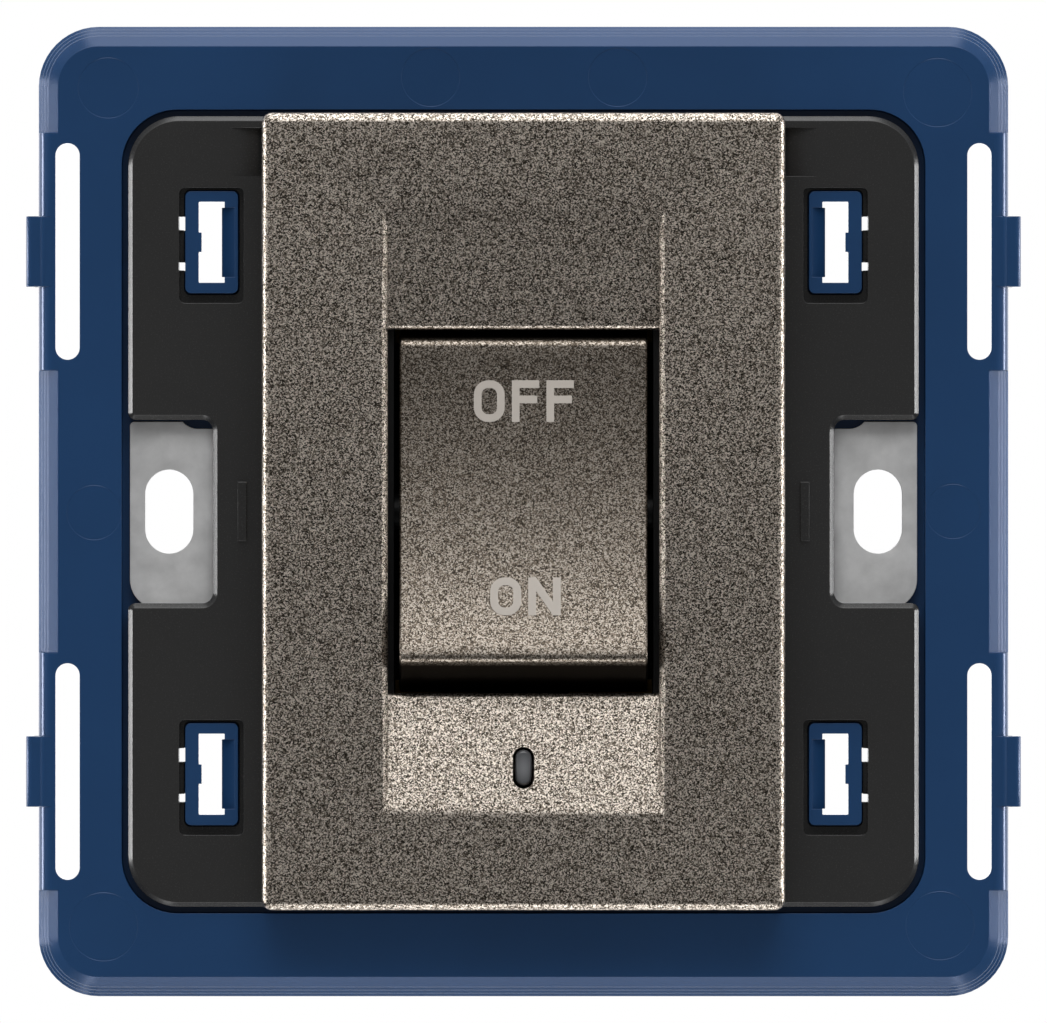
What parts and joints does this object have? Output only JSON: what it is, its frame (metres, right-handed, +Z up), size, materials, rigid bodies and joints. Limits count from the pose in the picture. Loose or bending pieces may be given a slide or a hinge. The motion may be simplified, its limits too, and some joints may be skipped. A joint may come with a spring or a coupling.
{
  "type": "double-pole rocker switch",
  "caption": "Flush-mounting double-pole rocker switch with metallic bezel, indicator lens, slotted fixing yoke and clip-on plate carrier.",
  "frame": {"origin": "on the wall plane at the back of the plate carrier, on the axis of the switch", "axes": "+X to the right seen from the room, +Y into the wall, +Z up"},
  "size_m": [0.0846, 0.0374, 0.0826],
  "materials": {
    "blue_abs": "moulded, satin",
    "black_abs": "moulded, fine matt",
    "steel_sheet": "zinc plated sheet",
    "bronze_lacquer": "metallic lacquer over moulding, satin",
    "white_nylon": "moulded",
    "charcoal_nylon": "moulded",
    "dark_nylon": "moulded",
    "lamp_glass": "clear",
    "smoke_lens": "smoked, polished",
    "tinned_wire": "tinned",
    "resistor_lacquer": "dipped lacquer",
    "contact_copper": "rolled copper alloy",
    "contact_silver": "silver alloy",
    "strip_brass": "pressed brass strip",
    "terminal_brass": "machined brass",
    "plated_steel": "zinc plated",
    "spring_steel": "drawn wire"
  },
  "bodies": {
    "frame": {"plate_carrier": "blue_abs", "support_plate": "black_abs", "fixing_yoke": "steel_sheet", "front_bezel": "bronze_lacquer", "mechanism_body": "charcoal_nylon", "rear_case": "dark_nylon", "indicator_lens": "smoke_lens", "neon_lamp": "lamp_glass", "lamp_leads": "tinned_wire", "lamp_resistor": "resistor_lacquer", "fixed_contact_line": "strip_brass", "fixed_tip_line": "contact_silver", "contact_bracket_line": "strip_brass", "terminal_line_in": "terminal_brass", "terminal_line_out": "terminal_brass", "fixed_contact_neutral": "strip_brass", "fixed_tip_neutral": "contact_silver", "contact_bracket_neutral": "strip_brass", "terminal_neutral_in": "terminal_brass", "terminal_neutral_out": "terminal_brass"},
    "rocker": {"rocker_cap": "bronze_lacquer", "rocker_cradle": "dark_nylon", "plunger_spring_line": "spring_steel", "plunger_spring_neutral": "spring_steel"},
    "line_contact": {"moving_contact_line": "contact_copper", "moving_tip_line": "contact_silver"},
    "line_plunger": {"plunger_line": "white_nylon"},
    "line_in_screw": {"screw_line_in": "plated_steel"},
    "line_out_screw": {"screw_line_out": "plated_steel"},
    "neutral_contact": {"moving_contact_neutral": "contact_copper", "moving_tip_neutral": "contact_silver"},
    "neutral_plunger": {"plunger_neutral": "white_nylon"},
    "neutral_in_screw": {"screw_neutral_in": "plated_steel"},
    "neutral_out_screw": {"screw_neutral_out": "plated_steel"}
  },
  "joints": [
    {"name": "rocker_pivot", "type": "hinge", "parent": "frame", "child": "rocker", "pos_m": [0, -0.00227, 0], "axis": [1, 0, 0], "range_deg": [0, 15]},
    {"name": "line_contact_pivot", "type": "hinge", "parent": "frame", "child": "line_contact", "pos_m": [-0.0064, 0.00925, 0], "axis": [1, 0, 0], "range_deg": [-18, 0]},
    {"name": "line_plunger_slide", "type": "slide", "parent": "rocker", "child": "line_plunger", "axis": [0, -0.9914, 0.1305], "range_m": [0, 0.0008], "stiffness_N_per_m": 1500, "springref_m": -0.001, "deforming": ["plunger_spring_line"]},
    {"name": "line_in_screw_travel", "type": "slide", "parent": "frame", "child": "line_in_screw", "axis": [0, 0, -1], "range_m": [0, 0.0026]},
    {"name": "line_out_screw_travel", "type": "slide", "parent": "frame", "child": "line_out_screw", "axis": [0, 0, 1], "range_m": [0, 0.0026]},
    {"name": "neutral_contact_pivot", "type": "hinge", "parent": "frame", "child": "neutral_contact", "pos_m": [0.0064, 0.00925, 0], "axis": [1, 0, 0], "range_deg": [-18, 0]},
    {"name": "neutral_plunger_slide", "type": "slide", "parent": "rocker", "child": "neutral_plunger", "axis": [0, -0.9914, 0.1305], "range_m": [0, 0.0008], "stiffness_N_per_m": 1500, "springref_m": -0.001, "deforming": ["plunger_spring_neutral"]},
    {"name": "neutral_in_screw_travel", "type": "slide", "parent": "frame", "child": "neutral_in_screw", "axis": [0, 0, -1], "range_m": [0, 0.0026]},
    {"name": "neutral_out_screw_travel", "type": "slide", "parent": "frame", "child": "neutral_out_screw", "axis": [0, 0, 1], "range_m": [0, 0.0026]}
  ],
  "couplings": [
    {"joint": "line_contact_pivot", "follows": "rocker_pivot", "ratio": -1.2},
    {"joint": "neutral_contact_pivot", "follows": "rocker_pivot", "ratio": -1.2}
  ]
}
